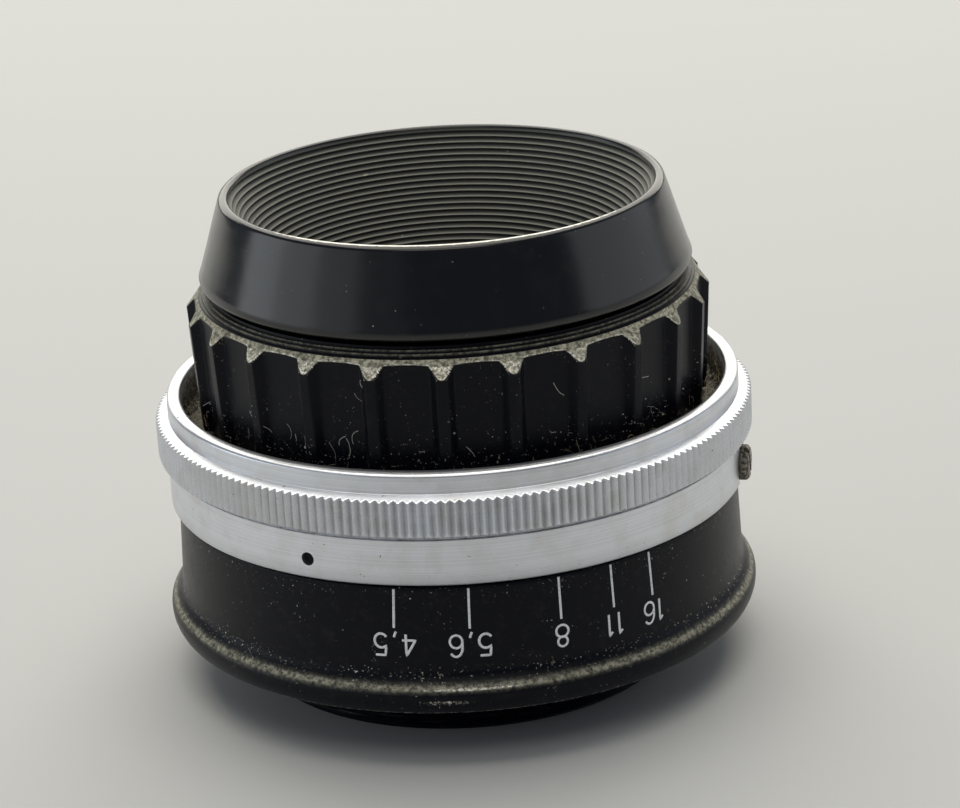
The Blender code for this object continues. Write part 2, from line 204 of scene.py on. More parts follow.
def revolve(name, outline, angles, form=None, masks=None, closed=True):
    """A turned mesh. form(angle, radius, height) gives the true radius, and each mask a value per point."""
    profile = np.array(outline, float)
    turn = np.radians(np.array(angles, float))
    angle, radius = np.meshgrid(turn, profile[:, 0])
    height = np.repeat(profile[:, 1:2], len(turn), axis=1)
    true = form(angle, radius, height) if form else radius
    points = np.stack([true * np.cos(angle), true * np.sin(angle), height], -1).reshape(-1, 3)
    rows, columns = angle.shape
    last = rows if closed else rows - 1
    row = np.arange(last)[:, None]
    column = np.arange(columns)[None, :]
    below = (row + 1) % rows
    beside = (column + 1) % columns
    corners = [row * columns + column, below * columns + column]
    corners += [below * columns + beside, row * columns + beside]
    faces = np.stack(corners, -1).reshape(-1, 4).tolist()
    if not closed:
        faces.append(list(range(columns)))
        faces.append(list(range((rows - 1) * columns, rows * columns))[::-1])
    mesh = bpy.data.meshes.new(name)
    mesh.from_pydata((points * MM).tolist(), [], faces)
    for label, mask in (masks or {}).items():
        layer = mesh.attributes.new(label, "FLOAT", "POINT")
        value = np.broadcast_to(mask(angle, radius, height, true), angle.shape)
        layer.data.foreach_set("value", np.ascontiguousarray(value, np.float32).ravel())
    mesh.shade_smooth()
    mesh.set_sharp_from_angle(angle=SHARP_ANGLE)
    return link(name, mesh)


def link(name, mesh):
    obj = bpy.data.objects.new(name, mesh)
    bpy.context.scene.collection.objects.link(obj)
    return obj


def tube_curve(name, radius, sides):
    """An empty curve whose splines are tubes of the given radius."""
    curve = bpy.data.curves.new(name, "CURVE")
    curve.dimensions = "3D"
    curve.bevel_depth = radius * MM
    curve.bevel_resolution = sides
    curve.use_fill_caps = True
    return curve


def even(count):
    return [360 * index / count for index in range(count)]


def apply_modifiers(obj):
    graph = bpy.context.evaluated_depsgraph_get()
    mesh = bpy.data.meshes.new_from_object(obj.evaluated_get(graph))
    obj.modifiers.clear()
    obj.data = mesh


def carve(obj, cutter):
    """Cuts cutter away from obj at once, and removes it."""
    modifier = obj.modifiers.new("Cut", "BOOLEAN")
    modifier.operation = "DIFFERENCE"
    modifier.solver = "EXACT"
    modifier.object = cutter
    apply_modifiers(obj)
    obj.data.set_sharp_from_angle(angle=SHARP_ANGLE)
    bpy.data.objects.remove(cutter)


def radial_place(angle, radius, height):
    turn = Matrix.Rotation(math.radians(angle), 4, "Z")
    place = Matrix.Translation(Vector((radius, 0, height)) * MM)
    return turn @ place @ Matrix.Rotation(math.radians(90), 4, "Y")


def drill(angle, inner, outer, height, radius, segments=48):
    """A cylinder along the radius at angle."""
    form = bmesh.new()
    bmesh.ops.create_cone(
        form,
        cap_ends=True,
        segments=segments,
        radius1=radius * MM,
        radius2=radius * MM,
        depth=(outer - inner) * MM,
        matrix=radial_place(angle, (inner + outer) / 2, height),
    )
    return link("cutter", to_mesh(form, "cutter"))


def block(size, matrix):
    """A box, as a cutter."""
    form = bmesh.new()
    scale = Matrix.Diagonal((*[side * MM for side in size], 1))
    bmesh.ops.create_cube(form, size=1, matrix=matrix @ scale)
    return link("cutter", to_mesh(form, "cutter"))


def to_mesh(form, name):
    mesh = bpy.data.meshes.new(name)
    form.to_mesh(mesh)
    form.free()
    return mesh


# ------------------------------------------------------------- materials


class Finish:
    """A Principled material and short ways to wire its nodes."""

    def __init__(self, name, colour, roughness, metallic=0.0):
        self.material = bpy.data.materials.new(name)
        self.material.use_nodes = True
        self.tree = self.material.node_tree
        self.shader = self.tree.nodes["Principled BSDF"]
        self.set("Base Color", (*colour, 1))
        self.set("Roughness", roughness)
        self.set("Metallic", metallic)
        self.where = self.add("ShaderNodeTexCoord").outputs["Object"]

    def set(self, socket, value):
        target = self.shader.inputs[socket]
        if isinstance(value, bpy.types.NodeSocket):
            self.tree.links.new(value, target)
        else:
            target.default_value = value

    def add(self, kind, inputs=None, **settings):
        node = self.tree.nodes.new(kind)
        for key, value in settings.items():
            setattr(node, key, value)
        for key, value in (inputs or {}).items():
            if isinstance(value, bpy.types.NodeSocket):
                self.tree.links.new(value, node.inputs[key])
            elif value is not None:
                node.inputs[key].default_value = value
        return node

    def math(self, operation, a, b=0.0, clamp=False):
        return self.add("ShaderNodeMath", {0: a, 1: b}, operation=operation, use_clamp=clamp).outputs[0]

    def noise(self, scale, detail=4.0, roughness=0.55, where=None):
        """Noise with about scale lumps in each millimetre."""
        inputs = {"Vector": where or self.where, "Scale": scale / MM}
        inputs |= {"Detail": detail, "Roughness": roughness}
        return self.add("ShaderNodeTexNoise", inputs).outputs["Fac"]

    def band(self, value, low, high):
        """0 below low, 1 above high; the other way round if low is above high."""
        inputs = {"Value": value, "From Min": low, "From Max": high}
        return self.add("ShaderNodeMapRange", inputs, clamp=True).outputs["Result"]

    def mask(self, name):
        return self.add("ShaderNodeAttribute", attribute_name=name).outputs["Fac"]

    def mix(self, share, a, b):
        node = self.add("ShaderNodeMix", data_type="RGBA")
        for index, value in ((0, share), (6, a), (7, b)):
            if isinstance(value, bpy.types.NodeSocket):
                self.tree.links.new(value, node.inputs[index])
            else:
                node.inputs[index].default_value = value if index == 0 else (*value, 1)
        return node.outputs[2]

    def blend(self, share, a, b):
        node = self.add("ShaderNodeMix", data_type="FLOAT")
        for index, value in ((0, share), (2, a), (3, b)):
            if isinstance(value, bpy.types.NodeSocket):
                self.tree.links.new(value, node.inputs[index])
            else:
                node.inputs[index].default_value = value
        return node.outputs[0]

    def flecks(self, scale, level, more=None):
        """Irregular flecks, about scale to a millimetre. A higher level makes fewer, and more adds some."""
        value = self.noise(scale, 3.0, 0.5)
        if more is not None:
            value = self.math("ADD", value, self.math("MULTIPLY", more, 0.085))
        return self.band(value, level, level + 0.025)

    def turned_lines(self, scale):
        """Noise that is the same all round the axis, as a lathe tool leaves it."""
        parts = self.add("ShaderNodeSeparateXYZ", {"Vector": self.where})
        across = self.math("MULTIPLY", parts.outputs[0], parts.outputs[0])
        along = self.math("MULTIPLY", parts.outputs[1], parts.outputs[1])
        radius = self.math("SQRT", self.math("ADD", across, along))
        spot = self.add("ShaderNodeCombineXYZ", {0: radius, 1: parts.outputs[2], 2: 0.0}).outputs[0]
        return self.noise(scale, 3.0, 0.7, spot)

    def bump(self, height, depth):
        """Relief of up to depth millimetres."""
        inputs = {"Height": height, "Distance": depth * MM, "Strength": 1.0}
        self.set("Normal", self.add("ShaderNodeBump", inputs).outputs["Normal"])


# Olive grey: rubbed paint, and also painted highlight on the grip's step edges and the skirt's shoulder.
OLIVE_GREY = (0.5, 0.485, 0.38)
PALE_DUST = (0.6, 0.58, 0.53)
BROWN_DIRT = (0.15, 0.135, 0.095)
# Bright rubbed metal, also painted highlight on the front of the hood rim.
BARE_METAL_AND_HIGHLIGHT = (0.9, 0.88, 0.8)


def gloss_black():
    """Hood lacquer: glossy outside, a little dust; matt ribs inside whose crests are lighter, partly dust and
    partly painted highlight; a bright line round the rim that is rubbed metal with painted highlight towards
    the front.
    """
    finish = Finish("gloss_black", (0.01, 0.01, 0.012), 0.2)
    inside = finish.mask("inside")
    outside = finish.math("SUBTRACT", 1.0, inside)
    film = finish.band(finish.noise(0.45, 6), 0.48, 0.8)
    dust = finish.math("MULTIPLY", finish.flecks(4.2, 0.745), outside)
    outer = finish.mix(finish.math("MULTIPLY", film, 0.03), (0.0035, 0.0035, 0.0045), (0.12, 0.11, 0.1))
    outer = finish.mix(dust, outer, PALE_DUST)
    # Rib crests lighter than the valleys: some dust, and painted highlight where light from above catches the
    # crests.
    ribbed = finish.mix(finish.mask("crest"), (0.018, 0.019, 0.016), (0.19, 0.195, 0.165))
    ribbed = finish.mix(finish.flecks(1.5, 0.74), ribbed, (0.3, 0.29, 0.24))
    colour = finish.mix(inside, outer, ribbed)
    # Bright line on the rim: rubbed metal, with painted highlight towards the front.
    ragged = finish.math("ADD", finish.mask("wear_and_highlight"), finish.noise(1.6, 6, 0.7))
    worn_and_lit = finish.band(ragged, 0.85, 1.1)
    finish.set("Base Color", finish.mix(worn_and_lit, colour, BARE_METAL_AND_HIGHLIGHT))
    rough = finish.blend(film, 0.19, 0.26)
    rough = finish.blend(inside, rough, 0.6)
    finish.set("Roughness", finish.blend(worn_and_lit, rough, 0.35))
    finish.set("Metallic", finish.math("MULTIPLY", worn_and_lit, 0.3))
    finish.set("Specular IOR Level", 0.6)
    finish.bump(finish.turned_lines(7), 0.003)
    return finish.material


def satin_black(name, blotches=0.5):
    """Satin lacquer, its black tinted blue as painted reflection: specks and blotches of dirt; olive where
    the paint is rubbed, which on the grip's step edges and the skirt's shoulder is painted highlight; chipped
    to metal on its edges, with painted glints.
    """
    finish = Finish(name, (0.014, 0.014, 0.018), 0.4)
    grain = finish.noise(9, 5, 0.7)
    settled = finish.mask("dust")
    film = finish.band(finish.noise(0.9, 8, 0.72), 0.52, 0.72)
    cluster = finish.math("ADD", settled, finish.band(finish.noise(0.32, 3), 0.46, 0.66), clamp=True)
    # The blue tint of the black is painted reflection of a blue surround.
    colour = finish.mix(finish.math("MULTIPLY", film, 0.1 * blotches), (0.0022, 0.0028, 0.0065), BROWN_DIRT)
    brown = finish.math("MULTIPLY", finish.flecks(2.2, 0.7, settled), cluster)
    colour = finish.mix(brown, colour, BROWN_DIRT)
    pale = finish.math("MULTIPLY", finish.flecks(4.6, 0.7, settled), cluster)
    colour = finish.mix(pale, colour, PALE_DUST)
    # Olive bands: rubbed paint, and painted highlight on the grip's step edges and the skirt's shoulder.
    worn_and_lit = finish.math("MULTIPLY", finish.mask("wear_and_highlight"), finish.band(finish.noise(2.6, 7, 0.7), 0.28, 0.5))
    mottle = finish.band(finish.noise(2.4, 6, 0.75), 0.42, 0.58)
    tone = finish.mix(mottle, OLIVE_GREY, (0.12, 0.115, 0.088))
    colour = finish.mix(worn_and_lit, colour, tone)
    # Chips to metal, mottled with painted glints.
    ragged = finish.math("ADD", finish.mask("chip_and_glint"), finish.noise(3.4, 9, 0.8))
    chip_and_glint = finish.band(ragged, 1.03, 1.13)
    glint = finish.band(finish.noise(3, 5, 0.75), 0.43, 0.57)
    bare = finish.mix(glint, (0.98, 0.95, 0.84), (0.27, 0.25, 0.19))
    finish.set("Base Color", finish.mix(chip_and_glint, colour, bare))
    rough = finish.blend(film, 0.33, 0.45)
    rough = finish.blend(worn_and_lit, rough, 0.5)
    finish.set("Roughness", finish.blend(chip_and_glint, rough, 0.32))
    finish.set("Metallic", finish.math("MULTIPLY", chip_and_glint, 0.35))
    finish.set("Specular IOR Level", 0.15)
    finish.bump(finish.blend(worn_and_lit, finish.math("MULTIPLY", grain, 0.4), finish.noise(3, 7, 0.75)), 0.045)
    return finish.material


def turned_aluminium():
    """Bare aluminium with a cool blue tint that is painted reflection: fine tool lines, dark pits, darker
    patches in the knurl valleys and grime in the recess.
    """
    finish = Finish("turned_aluminium", (0.7, 0.71, 0.74), 0.32, 1.0)
    lines = finish.turned_lines(9)
    stain = finish.band(finish.noise(0.35, 8, 0.65), 0.45, 0.8)
    # The cool blue side of this mix is painted reflection of a blue surround; the grey side is stain.
    colour = finish.mix(stain, (0.76, 0.785, 0.84), (0.64, 0.64, 0.63))
    tool_marks = finish.math("MULTIPLY", finish.band(lines, 0.42, 0.68), 0.35)
    colour = finish.mix(tool_marks, colour, (0.4, 0.4, 0.42))
    # Darker in patches along the knurl valleys.
    valley = finish.math("MULTIPLY", finish.mask("valley"), finish.band(finish.noise(0.5, 6), 0.2, 0.7))
    colour = finish.mix(finish.math("MULTIPLY", valley, 0.4), colour, (0.24, 0.23, 0.2))
    pits = finish.flecks(2.2, 0.73)
    colour = finish.mix(finish.math("MULTIPLY", pits, 0.8), colour, (0.13, 0.1, 0.07))
    grime = finish.band(finish.math("ADD", finish.mask("dust"), finish.noise(1.6, 8, 0.7)), 0.72, 1.02)
    speckle = finish.band(finish.noise(4, 6), 0.4, 0.65)
    grime_tone = finish.mix(speckle, (0.05, 0.043, 0.028), (0.26, 0.24, 0.19))
    colour = finish.mix(grime, colour, grime_tone)
    finish.set("Base Color", colour)
    finish.set("Metallic", finish.blend(grime, 1.0, 0.05))
    rough = finish.blend(lines, 0.27, 0.42)
    finish.set("Roughness", finish.blend(finish.math("MAXIMUM", grime, pits), rough, 0.85))
    finish.bump(finish.blend(grime, lines, finish.noise(3, 8, 0.8)), 0.007)
    return finish.material


def paint_white():
    finish = Finish("engraving_paint", (0.9, 0.92, 0.95), 0.6)
    dirt = finish.band(finish.noise(5, 6, 0.7), 0.5, 0.75)
    finish.set("Base Color", finish.mix(dirt, (0.93, 0.95, 0.98), (0.4, 0.41, 0.43)))
    return finish.material


def coated_glass():
    finish = Finish("coated_glass", (0.96, 0.97, 1.0), 0.02)
    finish.set("Transmission Weight", 1.0)
    finish.set("IOR", 1.6)
    finish.set("Coat Weight", 0.6)
    finish.set("Coat Tint", (0.72, 0.62, 1.0, 1))
    finish.set("Roughness", finish.blend(finish.flecks(2.0, 0.72), 0.015, 0.3))
    return finish.material


def matt_black():
    finish = Finish("matt_black", (0.02, 0.02, 0.02), 0.7)
    film = finish.band(finish.noise(0.6, 6), 0.4, 0.75)
    finish.set("Base Color", finish.mix(finish.math("MULTIPLY", film, 0.15), (0.01, 0.01, 0.011), OLIVE_GREY))
    finish.set("Roughness", finish.blend(film, 0.5, 0.72))
    finish.bump(finish.turned_lines(6), 0.008)
    return finish.material


def turned_brass():
    finish = Finish("turned_brass", (0.6, 0.44, 0.2), 0.32, 1.0)
    tarnish = finish.band(finish.noise(0.5, 6), 0.4, 0.75)
    finish.set("Base Color", finish.mix(tarnish, (0.66, 0.5, 0.24), (0.26, 0.18, 0.09)))
    finish.set("Roughness", finish.blend(finish.turned_lines(9), 0.25, 0.45))
    return finish.material


def dull_steel():
    """Screw steel gone brown, with grime in its slot."""
    finish = Finish("dull_steel", (0.4, 0.4, 0.4), 0.38, 1.0)
    rust = finish.band(finish.noise(2.0, 7, 0.7), 0.4, 0.58)
    finish.set("Base Color", finish.mix(rust, (0.4, 0.37, 0.32), (0.05, 0.038, 0.026)))
    finish.set("Metallic", finish.blend(rust, 1.0, 0.2))
    finish.set("Roughness", finish.blend(rust, 0.32, 0.75))
    finish.bump(finish.noise(6, 5), 0.012)
    return finish.material


def blued_steel():
    finish = Finish("blued_steel", (0.05, 0.05, 0.06), 0.38, 0.7)
    streak = finish.band(finish.noise(0.8, 5), 0.35, 0.7)
    finish.set("Base Color", finish.mix(streak, (0.035, 0.036, 0.045), (0.075, 0.07, 0.07)))
    finish.set("Roughness", finish.blend(streak, 0.3, 0.5))
    return finish.material


def crumb_finish():
    finish = Finish("dust_crumbs", (0.3, 0.28, 0.22), 0.9)
    tone = finish.band(finish.noise(2.4, 4), 0.5, 0.72)
    finish.set("Base Color", finish.mix(tone, (0.05, 0.043, 0.026), (0.5, 0.47, 0.38)))
    return finish.material


def place_piece(piece, body, node, material):
    piece.data.materials.clear()
    piece.data.materials.append(material)
    if node:
        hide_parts(node)
    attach(piece, body)
    return piece


# ------------------------------------------------------------------ hood


def hood_outline():
    """Outer side down to the spigot, and back up the ribbed bore."""
    outer = [(RIM_RADIUS + 0.02, HOOD_RIM - 0.38), (20.45, 42.3), (21.15, 40.0), (21.82, 37.9)]
    foot = [(HOOD_BASE_RADIUS, 37.3), (HOOD_BASE_RADIUS - 0.1, 36.95), (21.3, HOOD_SKIRT_FOOT)]
    spigot = [(17.2, HOOD_SKIRT_FOOT), (17.2, HOOD_FOOT), (HOOD_BORE_FOOT, HOOD_FOOT)]
    bore_top = RIM_RADIUS - RIM_WALL
    top = HOOD_RIM - 0.45
    low = top - RIB_COUNT * RIB_PITCH
    ribs = [(bore_radius(low), low)]
    per_rib = 8
    for step in range(1, RIB_COUNT * per_rib):
        height = low + RIB_PITCH * step / per_rib
        ribs.append((bore_radius(height) + RIB_DEPTH * rib_wave(step / per_rib), height))
    rim = [(bore_top, top), (bore_top + 0.06, HOOD_RIM - 0.16), (bore_top + 0.2, HOOD_RIM - 0.03)]
    rim += [(bore_top + 0.38, HOOD_RIM), (RIM_RADIUS - 0.36, HOOD_RIM - 0.04)]
    rim += [(RIM_RADIUS - 0.17, HOOD_RIM - 0.12), (RIM_RADIUS - 0.04, HOOD_RIM - 0.25)]
    return finer(outer, 0.8, False) + soften(foot, 0.15, 3, False) + spigot + ribs + rim


def bore_radius(height):
    """The ribs' crests lie on this cone."""
    share = (height - HOOD_FOOT) / (HOOD_RIM - 0.45 - HOOD_FOOT)
    return HOOD_BORE_FOOT + (RIM_RADIUS - RIM_WALL - HOOD_BORE_FOOT) * share


def rib_wave(turns):
    """0 at a crest and 1 at the bottom of a valley, with crests narrower than valleys."""
    return (0.5 - 0.5 * math.cos(2 * math.pi * turns)) ** 0.7


def hood_inside(angle, radius, height, true):
    return ((np.abs(radius - bore_radius(height)) < 0.6) & (height < HOOD_RIM - 0.2)).astype(float)


def hood_crest_highlight(angle, radius, height, true):
    # Painted highlight on the rib crests, with some dust on them: strongest right on top of each crest.
    depth = (radius - bore_radius(height)) / RIB_DEPTH
    return np.clip(1 - depth, 0, 1) ** 2 * hood_inside(angle, radius, height, true)


def hood_wear_and_highlight(angle, radius, height, true):
    """Bright rubbed metal on top of the rim, with painted highlight: heaviest towards the front, where the
    light catches the rim.
    """
    middle = RIM_RADIUS - RIM_WALL + 0.3
    edge = np.exp(-(((radius - middle) / 0.24) ** 2)) * (height > HOOD_RIM - 0.2)
    # Stronger towards the front, where light catches the rim: painted highlight.
    front = np.clip(-np.sin(angle) * 2 - 0.8, 0, 1)
    return np.clip(edge * front, 0, 1)


def build_hood():
    masks = {"inside": hood_inside, "crest": hood_crest_highlight, "wear_and_highlight": hood_wear_and_highlight}
    hood = revolve("hood_shell", hood_outline(), even(256), masks=masks)
    place_piece(hood, BARREL, "front_hood", gloss_black())


# ------------------------------------------------------------- grip ring


def flute_radius(angle, height):
    """How far out the fluted surface lies, before the turned outline limits it."""
    pitch = 2 * math.pi / FLUTES
    first = math.radians(FIRST_RIDGE)
    off = np.abs((angle - first) % pitch - pitch / 2)
    share = (height - FLUTE_LOW[0]) / (FLUTE_HIGH[0] - FLUTE_LOW[0])
    floor = FLUTE_LOW[1] + (FLUTE_HIGH[1] - FLUTE_LOW[1]) * share
    flat = floor / np.cos(off)
    lean = np.cos(off) - np.sin(off) / FLUTE_SLOPE
    wall = np.where(lean > 0.02, (floor - FLUTE_HALF_FLOOR / FLUTE_SLOPE) / np.maximum(lean, 0.02), 60)
    return -smooth_min(-flat, -np.minimum(wall, 30), 0.12)


def grip_form(angle, radius, height):
    return smooth_min(radius, flute_radius(angle, height), 0.07)


def grip_columns():
    """Angles packed close over the flute walls, where the shape turns."""
    half = (0, 1.8, 3.4, 4.3, 4.65, 4.9, 5.15, 5.4, 5.65, 5.9, 6.1, 6.3, 6.45, 6.6, 6.8, 7.1)
    pitch = 360 / FLUTES
    middle = FIRST_RIDGE + pitch / 2
    local = [-value for value in reversed(half[1:])] + list(half) + [pitch / 2]
    return [middle + pitch * flute + value for flute in range(FLUTES) for value in local]


def tip_line(angle):
    """Height of the worn slope's lower end, which is rounded on each ridge."""
    pitch = 2 * math.pi / FLUTES
    off = (angle - math.radians(FIRST_RIDGE) + pitch / 2) % pitch - pitch / 2
    return GRIP_SHOULDER + 0.02 + np.minimum(1.2 * (off * GRIP_RADIUS) ** 2, 0.8)


def chamfer_wear_and_highlight(angle, radius, height, true):
    """1 on the sloping top face, where the outline limits the flutes, which is rubbed paint; and on the edges
    of the steps, which is painted highlight where light from above catches them.
    """
    tip = np.clip((height - tip_line(angle)) / 0.06 + 0.5, 0, 1)
    on_slope = tip * (height < CHAMFER_TOP + 0.02) * (radius > SLOPE_INNER)
    slope = on_slope * np.clip((flute_radius(angle, height) - radius) / 0.05 + 0.6, 0, 1)
    # The step edges: painted highlight lines.
    for edge_radius, edge_height in STEP_EDGES[1:]:
        gap = np.hypot(radius - edge_radius, height - edge_height)
        slope = np.maximum(slope, np.exp(-((gap / 0.05) ** 2)))
    return slope


def chip_and_glint_mask(angle, radius, height, true):
    """Chips to metal: the edges of the slope where the flutes cut it, most of all the tips of the ridges. The
    chips carry painted glints, and are made brighter towards the front as painted highlight.
    """
    gap = flute_radius(angle, height) - radius
    edge = np.exp(-(((gap - 0.03) / 0.07) ** 2)) * (height > GRIP_SHOULDER - 0.1) * (height < CHAMFER_TOP)
    above = height - tip_line(angle)
    rim = np.exp(-(((above - 0.08) / 0.1) ** 2)) * (gap > -0.02)
    body = np.where(height < TONGUE_TOP, 0.58, 0.42) * (above > 0) * (gap > 0) * (height < CHAMFER_TOP)
    # Brighter towards the front: painted highlight.
    front = 0.45 + 0.55 * np.clip(1.3 * np.cos(angle + math.radians(95)), 0, 1)
    return np.maximum(np.maximum(edge * 0.72, rim * 0.9), body) * (radius > SLOPE_INNER) * front


def grip_dust(angle, radius, height, true):
    """Dust that has settled low down, just above the lip."""
    low = np.clip(1 - (height - LIP_TOP) / 2.2, 0, 1)
    return 0.45 * low * (radius > 22) * (height < GRIP_SHOULDER)


def grip_outline():
    top = [(17.5, CELL_TOP), (21.3, CELL_TOP)]
    inner = 21.3
    for edge_radius, edge_height in reversed(STEP_EDGES):
        top += [(inner, edge_height), (edge_radius, edge_height)]
        inner = edge_radius
    top.append((inner, CHAMFER_TOP))
    slope = finer([(CHAMFER_TOP_RADIUS, CHAMFER_TOP), (23.5, GRIP_SHOULDER)], 0.085, False)
    wall = finer([(23.47, GRIP_SHOULDER - 0.12), (GRIP_BOTTOM_RADIUS, GRIP_BOTTOM)], 0.8, False)
    stem = [(BORE, GRIP_BOTTOM), (BORE, 27.35), (18.0, 27.35), (18.0, CELL_STEM), (9.7, CELL_STEM)]
    seats = [(9.7, 23.9), (8.4, 23.9), (8.4, 25.1), (11.7, 25.1), (11.7, 29.9), (17.5, 29.9)]
    return soften(top, 0.05, 2, False) + slope + wall + stem + seats


def build_grip():
    masks = {"wear_and_highlight": chamfer_wear_and_highlight, "chip_and_glint": chip_and_glint_mask, "dust": grip_dust}
    ring = revolve("grip_ring", grip_outline(), grip_columns(), grip_form, masks)
    place_piece(ring, BARREL, "front_cell", satin_black("satin_black_grip"))


# --------------------------------------------------------- aperture ring


def knurl_form(angle, radius, height):
    """212 straight teeth, cut off by the sloping faces above and below them."""
    wave = np.abs((angle * TEETH / (2 * math.pi)) % 1 - 0.5) * 2
    return smooth_min(radius, KNURL_RADIUS - TOOTH_DEPTH * wave, 0.03)


def knurl_valley(angle, radius, height, true):
    wave = np.abs((angle * TEETH / (2 * math.pi)) % 1 - 0.5) * 2
    return wave * (radius > 26.5) * (height < KNURL_TOP - 0.1)


def ring_dust(angle, radius, height, true):
    """Grime in the recess behind the lip, and in the step under the knurl."""
    recess = (radius < LIP_INNER + 0.05) & (height > RECESS_FLOOR - 0.1)
    depth = np.clip((LIP_TOP - 0.25 - height) / 1.2, 0, 1)
    step = np.exp(-(((height - 20.95) / 0.14) ** 2)) * (radius > 25) * 0.8
    return np.maximum(recess * (0.25 + 0.75 * depth) * (height < LIP_TOP - 0.2), step)


def ring_outline():
    lip = [(LIP_INNER, LIP_TOP - 0.35), (LIP_INNER + 0.15, LIP_TOP - 0.1), (LIP_INNER + 0.4, LIP_TOP)]
    lip += [(LIP_INNER + 0.75, LIP_TOP - 0.03), (LIP_RADIUS - 0.2, LIP_TOP - 0.14)]
    lip += [(LIP_RADIUS - 0.03, LIP_TOP - 0.3), (LIP_RADIUS, 24.82)]
    knurl_face = finer([(LIP_RADIUS + 0.05, 24.79), (KNURL_RADIUS, KNURL_TOP)], 0.06, False)
    knurl = [(KNURL_RADIUS, 24.3), (KNURL_RADIUS, 23.2), (KNURL_RADIUS, 22.2), (KNURL_RADIUS, 21.45)]
    knurl_foot = finer([(KNURL_RADIUS, 21.4), (26.5, KNURL_BOTTOM)], 0.08, False)
    groove = [(26.0, KNURL_BOTTOM), (26.0, 20.78), (BAND_RADIUS - 0.06, 20.78), (BAND_RADIUS, 20.72)]
    band = [(BAND_RADIUS, 19.4), (BAND_RADIUS, 18.0), (BAND_RADIUS, 16.85), (26.02, RING_BOTTOM)]
    back = [(BORE, RING_BOTTOM), (BORE, RECESS_FLOOR), (22.8, RECESS_FLOOR), (LIP_INNER, RECESS_FLOOR)]
    return soften(lip, 0.08, 3, False) + knurl_face + knurl + knurl_foot + groove + band + back


def build_aperture_ring():
    masks = {"valley": knurl_valley, "dust": ring_dust}
    ring = revolve("aperture_ring_shell", ring_outline(), even(TEETH * 6), knurl_form, masks)
    carve(ring, drill(DRIVE_ANGLE, 20, 28, DRIVE_HEIGHT, DRIVE_HOLE_RADIUS))
    carve(ring, drill(DRIVE_ANGLE, 25.85, 28, DRIVE_HEIGHT, DRIVE_SEAT_RADIUS))
    carve(ring, drill(INDEX_ANGLE, 24.6, 28, DRIVE_HEIGHT, INDEX_HOLE_RADIUS))
    place_piece(ring, CONTROL, "aperture_ring", turned_aluminium())
    # A dark plug in the index hole: painted shade for the depth of the hole.
    plug = drill(INDEX_ANGLE, 24.8, 25.7, DRIVE_HEIGHT, 0.59)
    plug.name = "index_hole_shade"
    dirt = Finish("hole_shade", (0.006, 0.006, 0.006), 0.9).material
    place_piece(plug, CONTROL, None, dirt)


def build_drive_screw():
    """Cheese-head screw: rounded head with a slot, on a plain shank."""
    head = [(0.05, 26.95), (1.35, 26.95), (1.6, 26.7), (1.6, 25.95), (0.8, 25.95), (0.8, 16.2), (0.05, 16.2)]
    screw = revolve("drive_screw_shell", soften(head, 0.1, 3, False), even(48), closed=False)
    screw.data.transform(radial_place(DRIVE_ANGLE, 0, DRIVE_HEIGHT))
    lean = Matrix.Rotation(math.radians(25), 4, "Z")
    carve(screw, block((4.0, 0.5, 1.0), radial_place(DRIVE_ANGLE, 26.95, DRIVE_HEIGHT) @ lean))
    place_piece(screw, CONTROL, "drive_screw", dull_steel())


# ----------------------------------------------------------- scale skirt


def skirt_radius(height):
    """Outer radius of the skirt: tapered neck, then a soft shoulder out to the bead."""
    neck = NECK_RADIUS + NECK_TAPER * (SKIRT_TOP - height)
    share = min(max((SHOULDER_TOP - height) / (SHOULDER_TOP - SHOULDER_BOTTOM), 0), 1)
    return neck + (SKIRT_FOOT_RADIUS - neck) * share * share * (3 - 2 * share)


def skirt_wear_and_highlight(angle, radius, height, true):
    """The shoulder above the bead is olive grey: dulled paint, and painted highlight where the shoulder faces
    up into the light.
    """
    return np.exp(-(((height - WORN_AND_LIT_HEIGHT) / 0.24) ** 2)) * (radius > 25.9)


def skirt_chip_and_glint(angle, radius, height, true):
    """Thin scuffed line round the foot, spots of painted highlight along the front of the shoulder, and
    scuffs on the front of the bead.
    """
    foot = np.exp(-(((height - SKIRT_BOTTOM - 0.1) / 0.08) ** 2)) * (radius > 26)
    front = np.exp(-((np.cos(angle) / 0.3) ** 2)) * (np.sin(angle) < 0)
    # Painted highlight along the front of the shoulder.
    bead = np.exp(-(((height - 7.25) / 0.2) ** 2)) * (radius > 26.2) * 0.8
    patch = np.exp(-(((height - SCUFF_HEIGHT) / 0.35) ** 2)) * (radius > 26) * 0.7
    scuffed = np.exp(-(((np.degrees(angle) - SCUFF_ANGLE) / 11) ** 2))
    return np.clip(foot * 0.8 + bead * front + patch * scuffed, 0, 1)


def skirt_dust(angle, radius, height, true):
    """A few more specks under the ring and above the shoulder."""
    low = np.exp(-(((height - 8.4) / 0.6) ** 2))
    high = np.exp(-(((height - 15.6) / 0.8) ** 2))
    return np.clip(low * 0.6 + high * 0.3, 0, 1) * (radius > 25)


